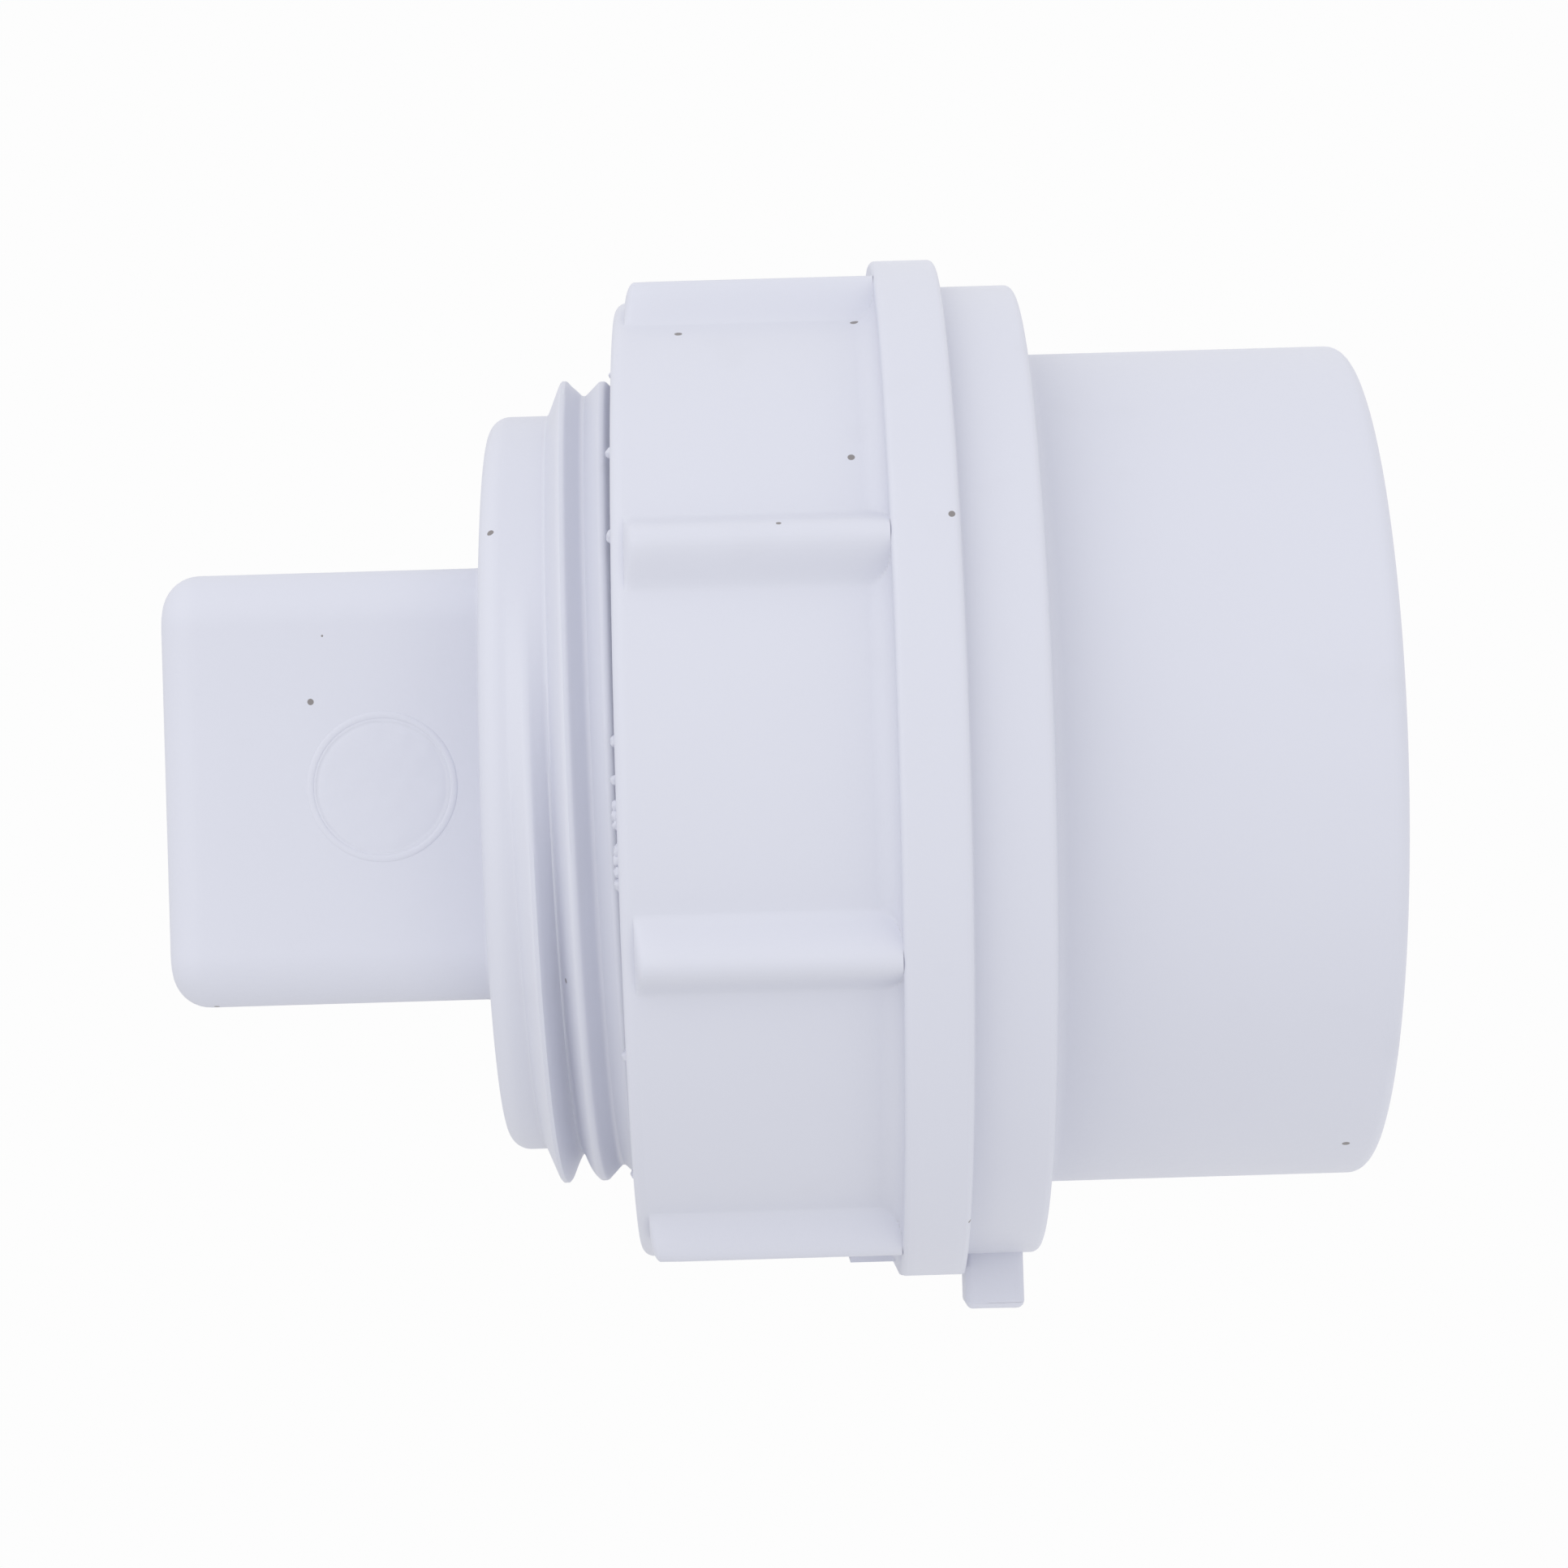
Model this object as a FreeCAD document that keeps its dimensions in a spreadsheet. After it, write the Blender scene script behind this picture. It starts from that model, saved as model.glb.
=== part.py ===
import FreeCAD, Part
import math
import os

import Sketcher

# A 1-1/2 inch cleanout adapter in white PVC: a moulded body with a plain spigot at one end and a
# female tapered thread at the other, closed by a moulded plug with a square head.
# The spigot end face lies at z = 0, the axis of the fitting is +Z, and the plug is at the top.
# Lengths are in millimetres and angles in degrees.

doc = FreeCAD.newDocument("cleanout_adapter")
sheet = doc.addObject("Spreadsheet::Sheet", "Sizes")
SIZES = [
    # adapter body
    ("spigot_diameter", 48.26),  # 1-1/2 inch pipe size, enters a socket fitting
    ("spigot_length", 19.05),
    ("spigot_edge_round", 0.9),
    ("spigot_wall", 3.68),
    ("stop_overhang", 4.04),  # first step, which a socket fitting butts against
    ("stop_thickness", 4.5),
    ("stop_edge_round", 0.5),
    ("stop_root_round", 1.0),
    ("band_overhang", 2.0),
    ("band_thickness", 3.7),
    ("band_edge_round", 0.35),
    ("collar_wall", 4.5),
    ("collar_length", 14.7),
    ("collar_root_round", 1.3),
    ("collar_mouth_round", 0.7),
    ("rib_count", 8),
    ("rib_width", 3.6),
    ("rib_height", 1.9),  # crest above the collar's round wall
    ("rib_setback", 0.7),  # from the mouth to the rib's end
    ("gate_flat_depth", 0.85),  # the band is flat where the mould's gate block sits
    ("gate_pad_height", 0.55),
    ("gate_pad_length", 2.8),
    ("gate_pad_width", 7.0),
    ("gate_nub_width", 4.4),
    ("gate_nub_length", 3.4),
    ("gate_nub_height", 3.2),  # above the stop step
    ("gate_nub_round", 0.45),
    # tapered pipe thread, shared by the collar and the plug
    ("thread_pitch", 2.2087),
    ("thread_taper", 0.03125),  # growth of the radius for each millimetre of height
    ("thread_depth", 1.35),
    ("thread_crest_flat", 0.32),
    ("thread_clearance", 0.2),
    ("thread_phase", 2.54),  # plug groove above the mouth at +X
    ("crest_diameter", 46.5),  # over the plug's crests, at the mouth
    ("socket_thread_length", 18.0),
    ("bore_step_length", 1.4),
    # plug
    ("plug_engagement", 15.0),  # thread below the mouth
    ("plug_lead_length", 1.3),
    ("crest_exposed", 3.3),  # full crests above the mouth
    ("ramp_length", 0.95),
    ("shoulder_step", 1.88),
    ("shoulder_thickness", 3.25),
    ("shoulder_edge_round", 1.2),
    ("shoulder_width", 3.97),
    ("neck_clearance", 0.1),
    ("skirt_wall", 3.6),
    ("web_thickness", 2.5),
    ("head_side", 24.3),
    ("head_length", 18.25),
    ("head_wall", 3.3),
    ("head_corner_round", 3.0),
    ("head_end_round", 2.1),
    ("head_root_round", 0.5),
    ("plug_clocking", -2.8),  # where the plug came to rest when it was tightened
    ("mark_diameter", 8.3),  # plain raised ring on one flat of the head
    ("mark_bead", 0.35),
    ("mark_height", 0.2),
    ("mark_above_shoulder", 5.95),
]
for row, (alias, number) in enumerate(SIZES, start=1):
    sheet.set(f"A{row}", alias)
    sheet.set(f"B{row}", str(number))
    sheet.setAlias(f"B{row}", alias)
doc.recompute()

# Places along the axis and radii that follow from the sizes, as expressions on the sheet.
BAND_BASE = "(Sizes.spigot_length + Sizes.stop_thickness)"
COLLAR_BASE = f"({BAND_BASE} + Sizes.band_thickness)"
MOUTH = f"({COLLAR_BASE} + Sizes.collar_length)"
THREAD_FLOOR = f"({MOUTH} - Sizes.socket_thread_length)"
PLUG_TIP = f"({MOUTH} - Sizes.plug_engagement)"
RAMP_START = f"({MOUTH} + Sizes.crest_exposed)"
RAMP_END = f"({RAMP_START} + Sizes.ramp_length)"
SHOULDER_FACE = f"({RAMP_END} + Sizes.shoulder_thickness)"
HEAD_TOP = f"({SHOULDER_FACE} + Sizes.head_length)"
WEB_UNDERSIDE = f"({RAMP_END} - Sizes.web_thickness)"
HALF_ANGLE = 30.0  # of the thread's flanks
FLANK_SLOPE = math.tan(math.radians(HALF_ANGLE))


def crest_radius(height):
    """Radius over the plug's crests at a height."""
    return f"(Sizes.crest_diameter / 2 + ({height} - {MOUTH}) * Sizes.thread_taper)"


def socket_minor_radius(height):
    """Radius of the collar's own crests, which clear the plug's roots."""
    return f"({crest_radius(height)} - Sizes.thread_depth + Sizes.thread_clearance)"


def value(expression):
    """The number that an expression on the sheet gives now."""
    result = sheet.evalExpression(expression)
    return float(getattr(result, "Value", result))


def new_body(label):
    body = doc.addObject("PartDesign::Body", label)
    body.Label = label
    return body


def new_sketch(body, name, role, offset=None):
    """A sketch on one of the body's own origin planes, moved along its normal by an expression."""
    sketch = body.newObject("Sketcher::SketchObject", name)
    plane = [f for f in body.Origin.OriginFeatures if f.Role == role][0]
    sketch.AttachmentSupport = (plane, [""])
    sketch.MapMode = "FlatFace"
    if offset:
        sketch.setExpression("AttachmentOffset.Base.z", offset)
    return sketch


def place_point(sketch, geometry, point, x, y):
    """Tie a point of the sketch to two expressions, measured from the sketch's origin."""
    for kind, axis, expression in (("DistanceX", -2, x), ("DistanceY", -1, y)):
        if expression == "0":
            sketch.addConstraint(Sketcher.Constraint("PointOnObject", geometry, point, axis))
        else:
            index = sketch.addConstraint(
                Sketcher.Constraint(kind, -1, 1, geometry, point, value(expression))
            )
            sketch.setExpression(f"Constraints[{index}]", expression)


def draw_outline(sketch, corners):
    """A closed outline through corners given as pairs of expressions."""
    points = [FreeCAD.Vector(value(x), value(y), 0) for x, y in corners]
    count = len(points)
    for i in range(count):
        sketch.addGeometry(Part.LineSegment(points[i], points[(i + 1) % count]))
    for i, (x, y) in enumerate(corners):
        sketch.addConstraint(Sketcher.Constraint("Coincident", (i - 1) % count, 2, i, 1))
        place_point(sketch, i, 1, x, y)


def draw_circle(sketch, x, y, radius):
    index = sketch.addGeometry(
        Part.Circle(FreeCAD.Vector(value(x), value(y), 0), FreeCAD.Vector(0, 0, 1), value(radius))
    )
    place_point(sketch, index, 3, x, y)
    size = sketch.addConstraint(Sketcher.Constraint("Radius", index, value(radius)))
    sketch.setExpression(f"Constraints[{size}]", radius)


def rectangle(low_x, low_y, high_x, high_y):
    return [(low_x, low_y), (high_x, low_y), (high_x, high_y), (low_x, high_y)]


def revolve(body, name, outline):
    """A turned shape about +Z from an outline of (radius, height) expressions."""
    sketch = new_sketch(body, f"{name}_outline", "XZ_Plane")
    draw_outline(sketch, outline)
    feature = body.newObject("PartDesign::Revolution", name)
    feature.Profile = sketch
    feature.ReferenceAxis = (sketch, ["V_Axis"])
    feature.Angle = 360
    doc.recompute()
    return feature


def extrude(body, kind, name, sketch, length, reverse=False):
    """A Pad or Pocket of the sketch; the length is an expression. Its effect is checked by volume."""
    before = body.Shape.Volume
    feature = body.newObject(f"PartDesign::{kind}", name)
    feature.Profile = sketch
    feature.setExpression("Length", length)
    feature.Reversed = reverse
    doc.recompute()
    if math.isclose(before, body.Shape.Volume, rel_tol=1e-7):
        raise RuntimeError(f"{name} changed nothing")
    return feature


def edges_where(shape, test):
    return [f"Edge{i}" for i, edge in enumerate(shape.Edges, start=1) if test(edge)]


def is_ring(edge, radius, height):
    """Is the edge a full or broken circle about the axis, with this radius at this height?"""
    curve = edge.Curve
    if not isinstance(curve, Part.Circle):
        return False
    centre = curve.Center
    return (
        abs(curve.Radius - radius) < 1e-3
        and math.hypot(centre.x, centre.y) < 1e-3
        and abs(centre.z - height) < 1e-3
    )


def round_edges(body, name, test, radius):
    """A fillet on the body's edges that pass the test; the radius is an expression."""
    base = body.Tip
    names = edges_where(base.Shape, test)
    if not names:
        raise RuntimeError(f"{name} found no edges")
    feature = body.newObject("PartDesign::Fillet", name)
    feature.Base = (base, names)
    feature.setExpression("Radius", radius)
    doc.recompute()
    return feature


def round_ring(body, name, radius_at, height_at, radius):
    ring_radius = value(radius_at)
    ring_height = value(height_at)
    return round_edges(body, name, lambda edge: is_ring(edge, ring_radius, ring_height), radius)


def cut_thread(body, name, outline, height, threaded_length):
    """Cut a right-hand tapered groove whose section is drawn at its lowest turn, at +X.

    The groove runs out of the piece at its top. Where the run-out leaves the solid whole or broken,
    the groove is made a little longer, and the volume it takes is compared with what it should take.
    """
    before = body.Shape.Volume
    sketch = new_sketch(body, f"{name}_section", "XZ_Plane")
    draw_outline(sketch, outline)
    helix = body.newObject("PartDesign::SubtractiveHelix", name)
    helix.Profile = sketch
    helix.ReferenceAxis = (sketch, ["V_Axis"])
    helix.Mode = 0  # set by pitch, height and cone angle
    helix.setExpression("Pitch", "Sizes.thread_pitch")
    helix.setExpression("Angle", "atan(Sizes.thread_taper)")
    helix.LeftHanded = False
    helix.Reversed = False
    depth = value("Sizes.thread_depth")
    area = depth * (value("Sizes.thread_pitch") - value("Sizes.thread_crest_flat") - depth * FLANK_SLOPE)
    turn_length = math.pi * (value("Sizes.crest_diameter") - depth)
    expected = area * turn_length * value(f"{threaded_length} / Sizes.thread_pitch")
    for step in range(8):
        helix.setExpression("Height", f"{height} + {step} * Sizes.thread_pitch / 16")
        doc.recompute()
        taken = (before - body.Shape.Volume) / expected
        if body.Shape.isValid() and 0.8 < taken < 1.2:
            print(f"{name}: took {taken:.2f} of the expected volume at step {step}")
            return helix
    raise RuntimeError(f"{name} did not cut its thread")


# Thread section. The plug's groove is a V with a flat root; the collar's matching groove takes
# the plug's ridge with the same clearance on its flanks and its crest.
FLANK = f"tan({HALF_ANGLE} deg)"
RIDGE_HALF = "(Sizes.thread_crest_flat / 2)"
GROOVE_ROOT_HALF = f"(Sizes.thread_pitch / 2 - {RIDGE_HALF} - Sizes.thread_depth * {FLANK})"
SOCKET_ROOT_HALF = f"({RIDGE_HALF} + Sizes.thread_clearance * (1 - {FLANK}))"
CUTTER_DEPTH = "(1.05 * Sizes.thread_depth)"  # the flanks run on a little past the cut surface
CUTTER_REACH = "(1.4 * Sizes.thread_depth)"  # and then the cutter's sides are straight


def cutter_outline(root, outward, height, root_half):
    """Section of a V cutter with a flat tip at radius root, opening outward (1) or inward (-1)."""
    wide_half = f"({root_half} + {CUTTER_DEPTH} * {FLANK})"
    wide = f"({root} + ({outward}) * {CUTTER_DEPTH})"
    back = f"({root} + ({outward}) * {CUTTER_REACH})"
    return [
        (root, f"{height} - {root_half}"),
        (wide, f"{height} - {wide_half}"),
        (back, f"{height} - {wide_half}"),
        (back, f"{height} + {wide_half}"),
        (wide, f"{height} + {wide_half}"),
        (root, f"{height} + {root_half}"),
    ]


# Adapter body, turned features: spigot, stop step, band, collar, waterway and thread socket.
adapter = new_body("adapter_body")
SPIGOT_RADIUS = "(Sizes.spigot_diameter / 2)"
STOP_RADIUS = f"({SPIGOT_RADIUS} + Sizes.stop_overhang)"
COLLAR_RADIUS = "(Sizes.crest_diameter / 2 + Sizes.collar_wall)"
BAND_RADIUS = f"({COLLAR_RADIUS} + Sizes.band_overhang)"
WATERWAY_RADIUS = f"({SPIGOT_RADIUS} - Sizes.spigot_wall)"
revolve(
    adapter,
    "adapter_turned",
    [
        (WATERWAY_RADIUS, "0"),
        (SPIGOT_RADIUS, "0"),
        (SPIGOT_RADIUS, "Sizes.spigot_length"),
        (STOP_RADIUS, "Sizes.spigot_length"),
        (STOP_RADIUS, BAND_BASE),
        (BAND_RADIUS, BAND_BASE),
        (BAND_RADIUS, COLLAR_BASE),
        (COLLAR_RADIUS, COLLAR_BASE),
        (COLLAR_RADIUS, MOUTH),
        (socket_minor_radius(MOUTH), MOUTH),
        (socket_minor_radius(THREAD_FLOOR), THREAD_FLOOR),
        (WATERWAY_RADIUS, f"{THREAD_FLOOR} - Sizes.bore_step_length"),
    ],
)
socket_turns = math.ceil(value("Sizes.socket_thread_length / Sizes.thread_pitch"))
SOCKET_LOW = f"({MOUTH} + Sizes.thread_phase - ({socket_turns} - 0.5) * Sizes.thread_pitch)"
cut_thread(
    adapter,
    "socket_thread",
    cutter_outline(
        f"({crest_radius(SOCKET_LOW)} + Sizes.thread_clearance)", -1, SOCKET_LOW, SOCKET_ROOT_HALF
    ),
    f"{socket_turns - 0.5} * Sizes.thread_pitch",
    f"({MOUTH} - {SOCKET_LOW})",
)

round_ring(adapter, "spigot_edge", SPIGOT_RADIUS, "0", "Sizes.spigot_edge_round")
round_ring(adapter, "stop_root", SPIGOT_RADIUS, "Sizes.spigot_length", "Sizes.stop_root_round")
round_ring(adapter, "stop_edge", STOP_RADIUS, "Sizes.spigot_length", "Sizes.stop_edge_round")
round_ring(adapter, "band_low_edge", BAND_RADIUS, BAND_BASE, "Sizes.band_edge_round")
round_ring(adapter, "band_high_edge", BAND_RADIUS, COLLAR_BASE, "Sizes.band_edge_round")
round_ring(adapter, "collar_root", COLLAR_RADIUS, COLLAR_BASE, "Sizes.collar_root_round")
round_ring(adapter, "collar_mouth", COLLAR_RADIUS, MOUTH, "Sizes.collar_mouth_round")

# Grip ribs: half-round ridges along the collar, from inside the band to short of the mouth.
RIB_RADIUS = "Sizes.rib_width / 2"
RIB_CENTRE = f"({COLLAR_RADIUS} + Sizes.rib_height - {RIB_RADIUS})"
RIB_START = f"({COLLAR_BASE} - Sizes.band_thickness / 4)"
RIB_END = f"({MOUTH} - Sizes.rib_setback)"
RIB_ANGLE = "180 deg / Sizes.rib_count"
rib_section = new_sketch(adapter, "rib_section", "XY_Plane", RIB_START)
draw_circle(
    rib_section, f"{RIB_CENTRE} * cos({RIB_ANGLE})", f"{RIB_CENTRE} * sin({RIB_ANGLE})", RIB_RADIUS
)
first_rib = extrude(adapter, "Pad", "first_rib", rib_section, f"{RIB_END} - {RIB_START}")
ribs = adapter.newObject("PartDesign::PolarPattern", "grip_ribs")
ribs.Originals = [first_rib]
ribs.Axis = (rib_section, ["N_Axis"])
ribs.Angle = 360
ribs.setExpression("Occurrences", "Sizes.rib_count")
adapter.Tip = ribs
doc.recompute()
# Gate marks on the -X side: a flat on the band, a low pad on the collar and a nub on the stop.
FLAT_AT = f"-({BAND_RADIUS} - Sizes.gate_flat_depth)"
flat_sketch = new_sketch(adapter, "gate_flat_area", "XY_Plane", BAND_BASE)
draw_outline(
    flat_sketch, rectangle(f"-{BAND_RADIUS} - 1", f"-{BAND_RADIUS}", FLAT_AT, BAND_RADIUS)
)
extrude(adapter, "Pocket", "gate_flat", flat_sketch, "Sizes.band_thickness", reverse=True)

pad_sketch = new_sketch(adapter, "gate_pad_area", "XY_Plane", COLLAR_BASE)
draw_outline(
    pad_sketch,
    rectangle(
        f"-({COLLAR_RADIUS} + Sizes.gate_pad_height)",
        "-Sizes.gate_pad_width / 2",
        f"-({COLLAR_RADIUS} - Sizes.thread_depth)",
        "Sizes.gate_pad_width / 2",
    ),
)
extrude(adapter, "Pad", "gate_pad", pad_sketch, "Sizes.gate_pad_length")

NUB_START = f"({BAND_BASE} - Sizes.gate_nub_length)"
nub_sketch = new_sketch(adapter, "gate_nub_area", "XY_Plane", NUB_START)
draw_outline(
    nub_sketch,
    rectangle(
        f"-({STOP_RADIUS} + Sizes.gate_nub_height)",
        "-Sizes.gate_nub_width / 2",
        f"-({STOP_RADIUS} - 1.5 * Sizes.gate_nub_round - 1)",
        "Sizes.gate_nub_width / 2",
    ),
)
extrude(adapter, "Pad", "gate_nub", nub_sketch, "Sizes.gate_nub_length")
nub_tip = -value(f"{STOP_RADIUS} + Sizes.gate_nub_height")
round_edges(
    adapter,
    "gate_nub_edges",
    lambda edge: abs(edge.BoundBox.XMin - nub_tip) < 1e-3 and edge.BoundBox.XLength < 1e-3,
    "Sizes.gate_nub_round",
)

# Plug: threaded skirt, neck and hollow square head, moulded in one.
plug = new_body("cleanout_plug")
SHOULDER_RADIUS = "(Sizes.crest_diameter / 2 - Sizes.shoulder_step)"
NECK_RADIUS = f"({SHOULDER_RADIUS} - Sizes.shoulder_width)"
SKIRT_INSIDE = f"({crest_radius(PLUG_TIP)} - Sizes.thread_depth - Sizes.skirt_wall)"
LEAD_END = f"({PLUG_TIP} + Sizes.plug_lead_length)"
revolve(
    plug,
    "plug_turned",
    [
        (SKIRT_INSIDE, PLUG_TIP),
        (f"{crest_radius(PLUG_TIP)} - Sizes.plug_lead_length", PLUG_TIP),
        (crest_radius(LEAD_END), LEAD_END),
        (crest_radius(RAMP_START), RAMP_START),
        (SHOULDER_RADIUS, RAMP_END),
        (NECK_RADIUS, RAMP_END),
        (NECK_RADIUS, SHOULDER_FACE),
        ("0", SHOULDER_FACE),
        ("0", WEB_UNDERSIDE),
        (SKIRT_INSIDE, WEB_UNDERSIDE),
    ],
)

plug_turns = math.ceil(value("Sizes.plug_engagement / Sizes.thread_pitch")) + 2
GROOVE_LOW = (
    f"({MOUTH} + Sizes.thread_phase + Sizes.thread_pitch * Sizes.plug_clocking / 360"
    f" - {plug_turns - 1} * Sizes.thread_pitch)"
)
cut_thread(
    plug,
    "plug_thread",
    cutter_outline(
        f"({crest_radius(GROOVE_LOW)} - Sizes.thread_depth)", 1, GROOVE_LOW, GROOVE_ROOT_HALF
    ),
    f"{RAMP_START} - {GROOVE_LOW} - Sizes.thread_pitch / 2",
    f"({RAMP_START} - {PLUG_TIP})",
)

HEAD_HALF = "Sizes.head_side / 2"
head_section = new_sketch(plug, "head_section", "XY_Plane", SHOULDER_FACE)
draw_outline(head_section, rectangle(f"-{HEAD_HALF}", f"-{HEAD_HALF}", HEAD_HALF, HEAD_HALF))
extrude(plug, "Pad", "square_head", head_section, "Sizes.head_length")
shoulder_face = value(SHOULDER_FACE)
head_top = value(HEAD_TOP)
head_half = value(HEAD_HALF)


def is_head_corner(edge):
    box = edge.BoundBox
    return abs(box.ZMin - shoulder_face) < 1e-3 and abs(box.ZMax - head_top) < 1e-3


def is_at_height(height):
    return lambda edge: edge.BoundBox.ZLength < 1e-3 and abs(edge.BoundBox.ZMin - height) < 1e-3


round_edges(plug, "head_corners", is_head_corner, "Sizes.head_corner_round")
round_edges(plug, "head_end", is_at_height(head_top), "Sizes.head_end_round")
round_edges(
    plug,
    "head_root",
    lambda edge: is_at_height(shoulder_face)(edge) and edge.BoundBox.XMax < head_half + 1e-3,
    "Sizes.head_root_round",
)

hollow_section = new_sketch(plug, "head_hollow_section", "XY_Plane", WEB_UNDERSIDE)
HOLLOW_HALF = f"({HEAD_HALF} - Sizes.head_wall)"
draw_outline(
    hollow_section, rectangle(f"-{HOLLOW_HALF}", f"-{HOLLOW_HALF}", HOLLOW_HALF, HOLLOW_HALF)
)
extrude(
    plug,
    "Pocket",
    "head_hollow",
    hollow_section,
    f"{HEAD_TOP} - Sizes.head_wall - {WEB_UNDERSIDE}",
    reverse=True,
)

mark_sketch = new_sketch(plug, "ring_mark_section", "XZ_Plane", HEAD_HALF)
MARK_HEIGHT_AT = f"({SHOULDER_FACE} + Sizes.mark_above_shoulder)"
draw_circle(mark_sketch, "0", MARK_HEIGHT_AT, "Sizes.mark_diameter / 2")
draw_circle(mark_sketch, "0", MARK_HEIGHT_AT, "Sizes.mark_diameter / 2 - Sizes.mark_bead")
extrude(plug, "Pad", "ring_mark", mark_sketch, "Sizes.mark_height")

plug.setExpression("Placement.Rotation.Angle", "Sizes.plug_clocking")

# Shoulder ring: the round rim of the plug, around its neck.
ring = new_body("plug_shoulder")
RING_INSIDE = f"({NECK_RADIUS} + Sizes.neck_clearance)"
RING_BASE = f"({RAMP_END} + Sizes.neck_clearance)"
revolve(
    ring,
    "shoulder_turned",
    [
        (RING_INSIDE, RING_BASE),
        (SHOULDER_RADIUS, RING_BASE),
        (SHOULDER_RADIUS, SHOULDER_FACE),
        (RING_INSIDE, SHOULDER_FACE),
    ],
)
round_ring(ring, "shoulder_edge", SHOULDER_RADIUS, SHOULDER_FACE, "Sizes.shoulder_edge_round")

doc.recompute()
failed = [o.Label for o in doc.Objects if "Invalid" in o.State or "Error" in o.State]
if failed:
    raise RuntimeError(f"these objects failed: {failed}")
os.makedirs("parts", exist_ok=True)
for body in (adapter, plug, ring):
    shape = body.Shape
    if shape.isNull() or not shape.isValid() or len(shape.Solids) != 1:
        raise RuntimeError(f"{body.Label} is not one valid solid")
    shape.exportStep(f"parts/{body.Label}.step")
    box = shape.BoundBox
    print(
        f"{body.Label}: {shape.Volume:.1f} mm3,"
        f" x {box.XMin:.2f} to {box.XMax:.2f},"
        f" y {box.YMin:.2f} to {box.YMax:.2f},"
        f" z {box.ZMin:.2f} to {box.ZMax:.2f}"
    )
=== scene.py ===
import math

import bmesh
import bpy
from mathutils import Matrix, Vector, noise


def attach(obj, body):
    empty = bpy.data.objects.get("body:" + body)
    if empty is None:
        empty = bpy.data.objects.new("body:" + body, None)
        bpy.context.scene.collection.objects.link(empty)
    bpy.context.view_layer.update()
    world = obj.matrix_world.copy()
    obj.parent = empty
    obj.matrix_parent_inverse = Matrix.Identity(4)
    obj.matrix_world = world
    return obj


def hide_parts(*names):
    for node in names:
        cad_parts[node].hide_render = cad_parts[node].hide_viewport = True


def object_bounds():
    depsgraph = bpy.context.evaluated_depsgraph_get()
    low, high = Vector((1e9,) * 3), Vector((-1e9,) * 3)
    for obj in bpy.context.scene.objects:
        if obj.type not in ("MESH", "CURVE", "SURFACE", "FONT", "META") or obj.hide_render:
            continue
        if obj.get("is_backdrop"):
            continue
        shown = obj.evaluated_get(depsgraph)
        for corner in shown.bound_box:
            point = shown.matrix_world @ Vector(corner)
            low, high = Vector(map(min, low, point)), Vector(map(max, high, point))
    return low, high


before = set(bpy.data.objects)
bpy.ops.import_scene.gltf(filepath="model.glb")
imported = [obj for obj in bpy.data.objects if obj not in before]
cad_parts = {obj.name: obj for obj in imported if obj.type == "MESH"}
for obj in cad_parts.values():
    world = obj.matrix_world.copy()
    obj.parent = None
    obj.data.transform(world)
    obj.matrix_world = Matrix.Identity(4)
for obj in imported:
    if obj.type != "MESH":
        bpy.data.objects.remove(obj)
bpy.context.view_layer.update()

# ---------------------------------------------------------------------------------------------
# Adapter. One injection moulding in white rigid PVC: a plain spigot for a glued drain joint, a
# stop disc, a plain band and a ribbed collar with a tapered pipe thread inside its mouth.
# The gate side (-X) keeps a flat on the band, a low pad beside it and a trimmed nub on the disc.
MM = 0.001
spigot_radius = 24.13
waterway_radius = 20.45
bore_edge_chamfer = 0.2
spigot_end_round, spigot_foot_round = 0.9, 0.9
stop_low, stop_radius, stop_round = 19.05, 28.17, 0.45
band_low, band_high, band_radius, band_round = 23.55, 27.25, 29.75, 0.35
band_underside_round, band_foot_round = 0.15, 1.3
collar_radius = 27.75
mouth_height, mouth_round = 41.95, 0.7
countersink_radius = 23.75
thread_floor, waterway_top = 23.95, 22.55
rib_count, rib_half_width, rib_rise = 8, 1.8, 1.9
rib_foot_round = 0.6
rib_end_start, rib_end_length = 40.6, 0.65


def arc(centre_r, centre_z, radius, from_deg, to_deg, steps=7):
    """Points (r, z) on a circular arc of the turned profile; 0 degrees points outward."""
    points = []
    for step in range(steps + 1):
        angle = math.radians(from_deg + (to_deg - from_deg) * step / steps)
        points.append((centre_r + radius * math.cos(angle), centre_z + radius * math.sin(angle)))
    return points


def straight(start, end, steps):
    """Points strictly between two profile points."""
    return [
        (
            start[0] + (end[0] - start[0]) * step / steps,
            start[1] + (end[1] - start[1]) * step / steps,
        )
        for step in range(1, steps)
    ]


def rib_height(across):
    """Height of a softly rounded rib above the collar, at a distance across from its centreline."""
    reach = rib_half_width + rib_foot_round
    if abs(across) >= reach:
        return 0.0
    return rib_rise * math.cos(math.pi / 2 * across / reach) ** 1.7


rib_angles = [math.radians(22.5 + 360 / rib_count * number) for number in range(rib_count)]
adapter_angles = set()
for rib_angle in rib_angles:
    for step in range(-9, 10):
        across = rib_half_width * math.sin(math.radians(10 * step))
        adapter_angles.add(round((rib_angle + across / collar_radius) % math.tau, 6))
    for step in range(-2, 6):
        for side in (-1, 1):
            across = side * (rib_half_width + rib_foot_round * step / 5)
            adapter_angles.add(round((rib_angle + across / collar_radius) % math.tau, 6))
    for step in range(1, 28):
        gap = math.tau / rib_count - 2 * (rib_half_width + rib_foot_round) / collar_radius
        start = rib_angle + (rib_half_width + rib_foot_round) / collar_radius
        adapter_angles.add(round((start + gap * step / 28) % math.tau, 6))
gate_flat_reach = 28.9
gate_pad_reach, gate_pad_half, gate_pad_end = 28.3, 3.5, 30.05
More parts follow.
